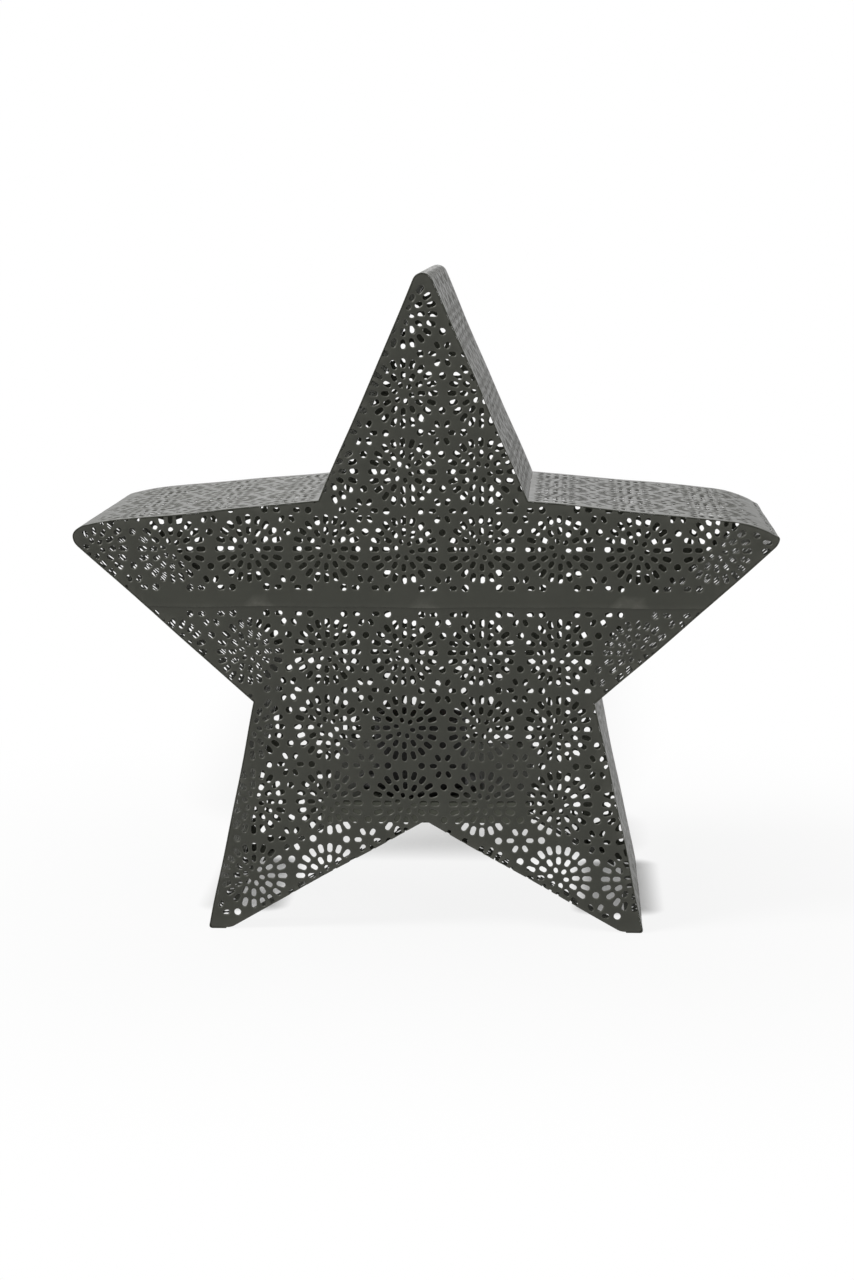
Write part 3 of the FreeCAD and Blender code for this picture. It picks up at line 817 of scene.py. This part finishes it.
class Path:
    """A run of straights and bends in the XZ plane, with its outward side away from the bends' middles."""

    def __init__(self):
        self.parts, self.bends, self.length = [], [], 0.0

    def add(self, size, part):
        self.parts.append((self.length, part))
        self.length += size
        return self

    def line(self, start, end, turn):
        """Goes straight on. A turn over zero has the outward side on the right of the travel."""
        size, along = direction(start, end)
        out = np.array([along[1], -along[0]]) * math.copysign(1, turn)
        return self.add(size, lambda s: (start + along * s[:, None], out))

    def bend(self, centre, first, turn, radius):
        """Goes round a middle, from a first angle on."""
        def part(s):
            angles = first + s / radius * math.copysign(1, turn)
            ray = np.stack([np.cos(angles), np.sin(angles)], 1)
            return centre + ray * radius, ray

        size = radius * abs(turn)
        self.bends.append((self.length, self.length + size))
        return self.add(size, part)

    def at(self, s):
        """Place and outward direction at distances along the path."""
        place, out = np.zeros((len(s), 2)), np.zeros((len(s), 2))
        for number, (begin, part) in enumerate(self.parts):
            mask = (s >= begin) if number else np.ones(len(s), bool)
            place[mask], out[mask] = part(s[mask] - begin)
        return place, out


def bent_path(start, corner, end, radius, goes_on=False):
    """A straight and the bend at its end, and the straight after that where the path goes on."""
    centre, first, turn, points = bend(start, corner, end, radius, 8)
    path = Path().line(start, points[0], turn).bend(centre, first, turn, radius)
    return path.line(points[-1], end, turn) if goes_on else path


def wall(side, name, path, upper):
    """A punched wall along a path, from the front star to the back star."""
    sign = 1 if side == "right" else -1
    front = 0.0 if upper else TIN
    half = HALF_DEPTH - front
    span = 2 * half
    plain_rim, row_start, row_step, cross_steps = 2, 3, 3.7, 32
    low, high = WALL_BEVEL, path.length - WALL_BEVEL
    bends = [s for begin, end in path.bends
             for s in np.linspace(begin, end, max(4, math.ceil((end - begin) / BEND_STEP)))]
    stations = divided(sorted(s for s in {low, high, *bends} if low <= s <= high), EDGE_STEP)
    steps = np.linspace(WALL_BEVEL, span - WALL_BEVEL, cross_steps)
    outline = [(s, steps[0]) for s in stations] + [(stations[-1], t) for t in steps[1:-1]]
    outline += [(s, steps[-1]) for s in reversed(stations)] + [(stations[0], t) for t in steps[-2:0:-1]]
    outline = np.array(outline)
    corners = [(low, WALL_BEVEL), (high, WALL_BEVEL), (high, span - WALL_BEVEL), (low, span - WALL_BEVEL)]
    holes, _ = pattern(corners, WALL_SHIFT_ALONG, WALL_SHIFT_ACROSS[side] - front)
    holes = [hole for hole in holes if hole.rim[:, 1].min() > WALL_HOLE_MARGIN
             and hole.rim[:, 1].max() < span - WALL_HOLE_MARGIN]
    rows = np.array([(s, t) for s in bends for t in np.arange(row_start, span, row_step)]).reshape(-1, 2)

    def place(s, t, depth):
        xz, out = path.at(s)
        xz = xz - out * depth[:, None]
        rise = TIN if upper else TIN * eased(xz[:, 1], LAP_HEIGHT - LAP_RISE, LAP_HEIGHT)
        stretched = (t - half) / half * (HALF_DEPTH + RIM_PROUD + rise)
        y = np.where(np.abs(t - half) < half - plain_rim, t - half, stretched)
        return handmade(np.stack([sign * xz[:, 0], y, xz[:, 1]], 1))

    loose = grid_points(outline, holes, GRID_STEP, rows)
    mesh = punched_mesh(name, outline, holes, place, WALL_BEVEL, loose, WALL_DISH, WALL_BULGE)
    add_object(name, "tin", [mesh], "painted_tin", "root")


for wall_side in ("left", "right"):
    leg = bent_path(LOW_NOTCH, FOOT_OUTER, FOLD_END, FOOT_OUTER_RADIUS, goes_on=True)
    wall(wall_side, f"{wall_side}_leg_wall", leg, False)
    under_arm = bent_path(LOW_NOTCH, ARM_TIP, HIGH_NOTCH, ARM_TIP_RADIUS)
    wall(wall_side, f"{wall_side}_arm_lower_wall", under_arm, False)
    wall(wall_side, f"{wall_side}_arm_upper_wall", Path().line(HIGH_NOTCH, ARM_BEND[-1], -1), True)
    if wall_side == "left":
        top = Path().line(HIGH_NOTCH, TOP_BEND[0], 1)
    else:
        top = bent_path(HIGH_NOTCH, TOP_TIP, LEFT_HIGH_NOTCH, TOP_TIP_RADIUS)
    wall(wall_side, f"top_{wall_side}_wall", top, True)


# ---- strips along the open angle between the legs ----

def arch_flange(side):
    """The strip's sheet runs on from the star's face, round the fold, with the same punches."""
    sign, shift = FACES[side]
    at_peak, at_foot = 0.1, 2.6
    peak = np.array(CROTCH)
    block = (LOW_BLOCK, LOW_BLOCK + BLOCK)
    meshes = []
    for half in (1, -1):
        foot = np.array([half * FOOT_INNER[0], 0.0])
        start, end = (peak, foot) if half > 0 else (foot, peak)
        length, along = direction(start, end)
        out = np.array([along[1], -along[0]])
        first, last = (at_peak, length - at_foot) if half > 0 else (at_foot, length - at_peak)
        corners = [start + along * first, start + out * FLANGE_DEPTH + along * first,
                   start + out * FLANGE_DEPTH + along * last, start + along * last]
        strip = inset(corners, [WALL_BEVEL] * 4)
        holes, cuts = pattern(strip, shift, LOW_BLOCK + HALF_PITCH, side == "back", block, {1, 3})
        loop = with_notches(strip, cuts)

        def place(x, z, depth):
            way = np.stack([x, z], 1) - start
            s, u = way @ along, way @ out
            xz = start + along * s[:, None] - out * depth[:, None]
            return handmade(np.stack([xz[:, 0], sign * (HALF_DEPTH - TIN - u), xz[:, 1]], 1))

        loose = grid_points(loop, holes, FLANGE_GRID_STEP)
        meshes.append(punched_mesh(f"{side}_arch", loop, holes, place, WALL_BEVEL, loose, PANEL_DISH))
    add_object(f"{side}_arch_flange", "tin", meshes, "painted_tin", "root")


for face_side in FACES:
    arch_flange(face_side)


# ---- shelf ----

def shelf():
    """A tray with its edges turned down over small bends, drawn as a sheet and thickened."""
    radius, facets, corner_facets, side_parts = 1.4, 5, 4, 16
    half_x, half_y = SHELF_WIDTH / 2, HALF_DEPTH - TIN - 0.05
    sag, calm_edge = 0.12, 12

    def ring(step_in, drop):
        """A loop round the tray at a step in from its edge."""
        x, y = half_x - step_in, half_y - step_in
        corner = max(radius - step_in, 0.15)
        points = []
        for sign_x, sign_y, first in ((1, 1, 0), (-1, 1, 90), (-1, -1, 180), (1, -1, 270)):
            for j in range(corner_facets + 1):
                a = math.radians(first + 90 * j / corner_facets)
                points.append((sign_x * (x - corner) + corner * math.cos(a),
                               sign_y * (y - corner) + corner * math.sin(a)))
            ax, ay = points[-1]
            bx, by = (-ax, ay) if sign_x == sign_y else (ax, -ay)
            points += [(ax + (bx - ax) * j / side_parts, ay + (by - ay) * j / side_parts)
                       for j in range(1, side_parts)]
        return np.array([(px, py, SHELF_TOP - drop) for px, py in points])

    outer, inner = [], []
    for k in range(facets + 1):
        angle = math.pi / 2 * k / facets
        step_in, drop = radius * (1 - math.sin(angle)), radius * (1 - math.cos(angle))
        outer.append(ring(step_in, drop))
        if k == 0:
            inner.append(ring(step_in, drop + TIN))
        else:
            inner.append(ring(step_in + TIN, drop + TIN * 0.7 * (1 - k / (facets + 1))))
    for drop in np.linspace(radius + 1.5, SHELF_TOP - SHELF_BOTTOM, 5):
        outer.append(ring(0.0, drop))
        inner.append(ring(TIN, drop))

    middles = np.array([[0, 0, SHELF_TOP], [0, 0, SHELF_TOP - TIN]])
    points = np.concatenate(outer + inner + [middles])
    wave = np.abs(sag * np.sin(points[:, 0] / 13) * np.sin(points[:, 1] / 19))
    inside_x = np.clip((half_x - np.abs(points[:, 0])) / calm_edge, 0, 1)
    inside_y = np.clip((half_y - np.abs(points[:, 1])) / calm_edge, 0, 1)
    near_top = points[:, 2] > SHELF_TOP - TIN - 0.01
    points[:, 2] -= np.where(near_top, wave * inside_x * inside_y, 0)

    layers, count = len(outer), len(outer[0])
    k = np.arange(count)
    after = np.roll(k, -1)

    faces = []
    for j in range(layers - 1):
        faces += quads(k, after, j * count, (j + 1) * count)
        below = quads(k, after, (layers + j) * count, (layers + j + 1) * count)
        faces += [face[::-1] for face in below]
    faces += quads(k, after, (layers - 1) * count, (2 * layers - 1) * count)
    top, under = 2 * layers * count, 2 * layers * count + 1
    faces += [[top, int(a), int(b)] for a, b in zip(k, after)]
    faces += [[under, int(b) + layers * count, int(a) + layers * count] for a, b in zip(k, after)]
    # the shelf counts as inner side: rougher, and lightened by the same painted fill light
    marks = np.stack([np.ones(len(points)), np.zeros(len(points))])
    add_object("candle_shelf", "tin", [(points, faces, marks)], "painted_tin", "root", 50)


shelf()


# ---- candle holder ----

def lathe(profile, sides, wobble=0.0):
    """A closed profile of radius and height turned round the holder's axis."""
    points, faces, count = [], [], len(profile)
    for k in range(sides):
        a = 2 * math.pi * k / sides
        grow = 1 + wobble * (math.sin(2 * a + 0.6) + 0.5 * math.sin(5 * a))
        for r, z in profile:
            points.append((HOLDER[0] + r * grow * math.cos(a), HOLDER[1] + r * grow * math.sin(a), z))
    here = np.array([j for j in range(count) if profile[j][0] or profile[(j + 1) % count][0]])
    for k in range(sides):
        faces += quads(here, (here + 1) % count, k * count, (k + 1) % sides * count)
    return merged(points, faces)


def merged(points, faces):
    """The same mesh with points that lie on each other made one."""
    seen, numbers, kept = {}, [], []
    for p in points:
        key = tuple(round(c, 5) for c in p)
        if key not in seen:
            seen[key] = len(kept)
            kept.append(p)
        numbers.append(seen[key])
    rows = (list(dict.fromkeys(numbers[v] for v in face)) for face in faces)
    return kept, [row for row in rows if len(row) > 2]


def arc(cx, cz, radius, first, last, parts):
    """Points of an arc in a profile, from one angle to another in degrees."""
    angles = [math.radians(first + (last - first) * k / parts) for k in range(parts + 1)]
    return [(cx + radius * math.cos(a), cz + radius * math.sin(a)) for a in angles]


def drip_pan():
    """A shallow dish with a rolled rim."""
    bottom, floor = SHELF_TOP, SHELF_TOP + PAN_TIN
    bead, turn_up, inner_turn_up = 0.75, 2.2, 1.8
    edge = PAN_RADIUS - bead
    pan = [(0, bottom)] + arc(edge - turn_up, bottom + turn_up, turn_up, -90, -12, 5)
    pan += arc(edge, bottom + PAN_HEIGHT - bead, bead, -80, 190, 9)
    pan += arc(edge - turn_up - PAN_TIN, bottom + turn_up + PAN_TIN, inner_turn_up, -12, -90, 5)
    pan += [(CUP_RADIUS + 3, floor), (0, floor)]
    add_object("drip_pan", "tin", [lathe(divided(pan, 5), 96, 0.0012)], "black_tin", "holder", 50)


def candle_cup():
    """A cup with a raised seam above its floor and a rolled rim."""
    base = SHELF_TOP + PAN_TIN
    top, floor = base + CUP_HEIGHT, base + PAN_TIN
    roll, seam, seam_height, bottom_bend, floor_bend = 0.85, 0.35, 5.2, 1.6, 1.0
    edge = CUP_RADIUS - 0.2
    inner = edge - PAN_TIN
    cup = [(0, base + 0.02)] + arc(edge - bottom_bend, base + bottom_bend, bottom_bend, -90, 0, 5)
    cup += [(edge, base + seam_height - 0.8)] + arc(edge, base + seam_height, seam, -90, 90, 4)
    cup += [(edge, base + seam_height + 0.8)] + arc(edge - 0.1, top - roll, roll, -70, 190, 10)
    cup += [(inner, top - 2.2)] + arc(inner - floor_bend, floor + floor_bend, floor_bend, 0, -90, 4)
    cup += [(0, floor)]
    add_object("candle_cup", "tin", [lathe(divided(cup, 4), 96, 0.0015)], "black_tin", "holder", 50)


drip_pan()
candle_cup()

WAX_BOTTOM = SHELF_TOP + 2 * PAN_TIN
WAX_TOP = WAX_BOTTOM + CANDLE_HEIGHT
DISC_TOP = WAX_BOTTOM + DISC_THICKNESS
NECK_TOP = DISC_TOP + NECK_HEIGHT
PLAY = 0.1  # between the wax and what it holds
WICK_HOLE = WICK_RADIUS + PLAY


def votive_candle():
    """The wax, with a melt pool on top and room for the wick and the disc that it stands on."""
    wax = [(DISC_RADIUS + PLAY, WAX_BOTTOM)] + arc(CANDLE_RADIUS - 1.0, WAX_BOTTOM + 1.0, 1.0, -90, 0, 4)
    wax += arc(CANDLE_RADIUS - 1.8, WAX_TOP - 1.8, 1.8, 0, 90, 5)
    melt_pool = [(CANDLE_RADIUS - 4.5, 0.25), (CANDLE_RADIUS - 9, 0.9), (9, 1.25), (4, 1.15), (1.9, 0.8),
                 (WICK_HOLE, 0.5)]
    wax += [(radius, WAX_TOP - depth) for radius, depth in melt_pool]
    wax += [(WICK_HOLE, NECK_TOP + PLAY), (NECK_RADIUS + PLAY, NECK_TOP + PLAY)]
    wax += [(NECK_RADIUS + PLAY, DISC_TOP + PLAY), (DISC_RADIUS + PLAY, DISC_TOP + PLAY)]
    add_object("votive_candle", "wax", [lathe(divided(wax, 3), 96, 0.0015)], "wax", "candle", 50)


def wick_foot():
    """The disc under the wick, with a crimped neck."""
    soft, crimp = 0.15, 0.12
    foot = [(0, WAX_BOTTOM), (DISC_RADIUS - soft, WAX_BOTTOM), (DISC_RADIUS, WAX_BOTTOM + 0.12)]
    foot += [(DISC_RADIUS, DISC_TOP - 0.1), (DISC_RADIUS - soft, DISC_TOP), (NECK_RADIUS + 0.8, DISC_TOP)]
    foot += arc(NECK_RADIUS + 0.5, DISC_TOP + 0.5, 0.5, 270, 180, 4)
    foot += [(NECK_RADIUS - crimp, DISC_TOP + 2.0), (NECK_RADIUS - crimp, DISC_TOP + 2.8)]
    foot += [(NECK_RADIUS, NECK_TOP - 0.2), (NECK_RADIUS - soft, NECK_TOP), (WICK_HOLE, NECK_TOP)]
    foot += [(WICK_HOLE, DISC_TOP + 0.02), (0, DISC_TOP + 0.02)]
    add_object("wick_foot", "tin", [lathe(divided(foot, 3), 48)], "wick_metal", "candle", 40)


def wick():
    """Three strands twisted round each other, which lean over a little above the wax."""
    low, high = DISC_TOP + 0.05, WAX_TOP + WICK_SHOWING
    strands, sides, steps = 3, 8, 90
    strand_radius, offset, twist_length = 0.41, 0.37, 4.6
    lean_per_height, taper_start, taper_by = 0.011, 0.97, 0.45
    round_strand = np.arange(sides)
    faces = []
    for k in range(steps):
        faces += quads(k * sides, (k + 1) * sides, round_strand, np.roll(round_strand, -1))
    faces += [round_strand[::-1].tolist(), (steps * sides + round_strand).tolist()]
    meshes = []
    for number in range(strands):
        points = []
        for k in range(steps + 1):
            share = k / steps
            z = low + (high - low) * share
            lean = lean_per_height * max(0.0, z - WAX_TOP + 1) ** 2
            a = 2 * math.pi * (number / strands + (z - low) / twist_length)
            taper = 1 - max(0.0, share - taper_start) / (1 - taper_start) * taper_by
            cx = HOLDER[0] + lean + offset * taper * math.cos(a)
            cy = HOLDER[1] + offset * taper * math.sin(a)
            for j in range(sides):
                b = 2 * math.pi * j / sides
                points.append((cx + strand_radius * taper * math.cos(b),
                               cy + strand_radius * taper * math.sin(b), z))
        meshes.append((points, faces))
    add_object("wick", "braid", meshes, "cotton", "candle", 60)


votive_candle()
wick_foot()
wick()


# ---- floor and light ----

def floor_painted_shade(surface):
    """How white the floor is: 1 all round, less in a few zones under and behind the lantern. The zones are
    painted shade, where the white glow gives way to the lit floor and its shadow.
    """
    zones = [
        # middle, half size, soft edge, share of white in the middle
        ((0.112, 0.02), (0.012, 0.05), 0.022, 0.2),
        ((-0.112, 0.02), (0.012, 0.05), 0.022, 0.2),
        ((0.0, 0.15), (0.08, 0.02), 0.08, 0.4),
        ((-0.03, 0.5), (0.03, 0.25), 0.17, 0.35),
        ((0.0, 0.0), (0.13, 0.08), 0.4, 0.88),
    ]
    fade = 1.0
    for middle, half, soft_edge, least in zones:
        way = surface.vector("ABSOLUTE", surface.vector("SUBTRACT", surface.place, (*middle, 0)))
        past = surface.vector("MAXIMUM", surface.vector("SUBTRACT", way, (*half, 0)))
        far = surface.vector("LENGTH", past, output="Value")
        inputs = {"Value": far, "From Max": soft_edge, "To Min": least}
        step = surface.add("ShaderNodeMapRange", "Result", inputs, interpolation_type="SMOOTHSTEP")
        fade = surface.math("MINIMUM", fade, step)
    return fade


def seen_by(shading, *rays):
    """1 for what is looked at by any of these kinds of ray."""
    path = shading.nodes.new("ShaderNodeLightPath")
    total = path.outputs[rays[0]]
    for ray in rays[1:]:
        total = shading.math("MAXIMUM", total, path.outputs[ray])
    return total


def stage_floor():
    """A pale floor that fades to the white of the background and keeps the lantern's shadow, with zones of
    painted shade under and behind it.
    """
    bpy.ops.mesh.primitive_circle_add(vertices=96, radius=6, fill_type="NGON", location=(0, 0, 0))
    floor = bpy.context.object
    floor.name = "studio_floor"
    surface = Surface("pale_floor")
    white = surface.add("ShaderNodeEmission", "Emission", {"Color": (1, 1, 1, 1)})
    share = surface.math("MULTIPLY", floor_painted_shade(surface), seen_by(surface, "Is Camera Ray", "Is Glossy Ray"))
    blend = surface.mix_shaders(share, surface.shader.outputs["BSDF"], white)
    surface.fill(surface.nodes["Material Output"], {"Surface": blend})
    floor.data.materials.append(surface.finished({"Base Color": (0.86, 0.86, 0.855, 1), "Roughness": 0.85}))


def studio_world():
    """White all round for what is seen directly or mirrored, and a softer level of light on the object."""
    world = bpy.data.worlds.new("studio")
    bpy.context.scene.world = world
    shading = Shading(world)
    light = shading.nodes["Background"]
    shading.fill(light, {"Color": (1, 1, 0.99, 1), "Strength": 0.33})
    white = shading.add("ShaderNodeBackground", "Background", {"Color": (1, 1, 1, 1), "Strength": 1.0})
    seen = seen_by(shading, "Is Camera Ray", "Is Glossy Ray", "Is Transmission Ray")
    blend = shading.mix_shaders(seen, light.outputs["Background"], white)
    shading.fill(shading.nodes["World Output"], {"Surface": blend})


def soft_lamp(name, place, target, size, power):
    """A round lamp that looks at a target."""
    data = bpy.data.lights.new(name, "AREA")
    data.shape = "DISK"
    data.size = size
    data.energy = power
    lamp = bpy.data.objects.new(name, data)
    lamp.location = place
    lamp.rotation_euler = (Vector(target) - Vector(place)).to_track_quat("-Z", "Y").to_euler()
    bpy.context.collection.objects.link(lamp)


stage_floor()
studio_world()
soft_lamp("key_lamp", (-1.5, -0.75, 2.0), (0, 0, 0.2), 0.9, 40)
soft_lamp("back_lamp", (-0.15, 2.1, 1.6), (0, 0, 0.25), 1.6, 9)
bpy.context.scene.view_settings.view_transform = "Standard"
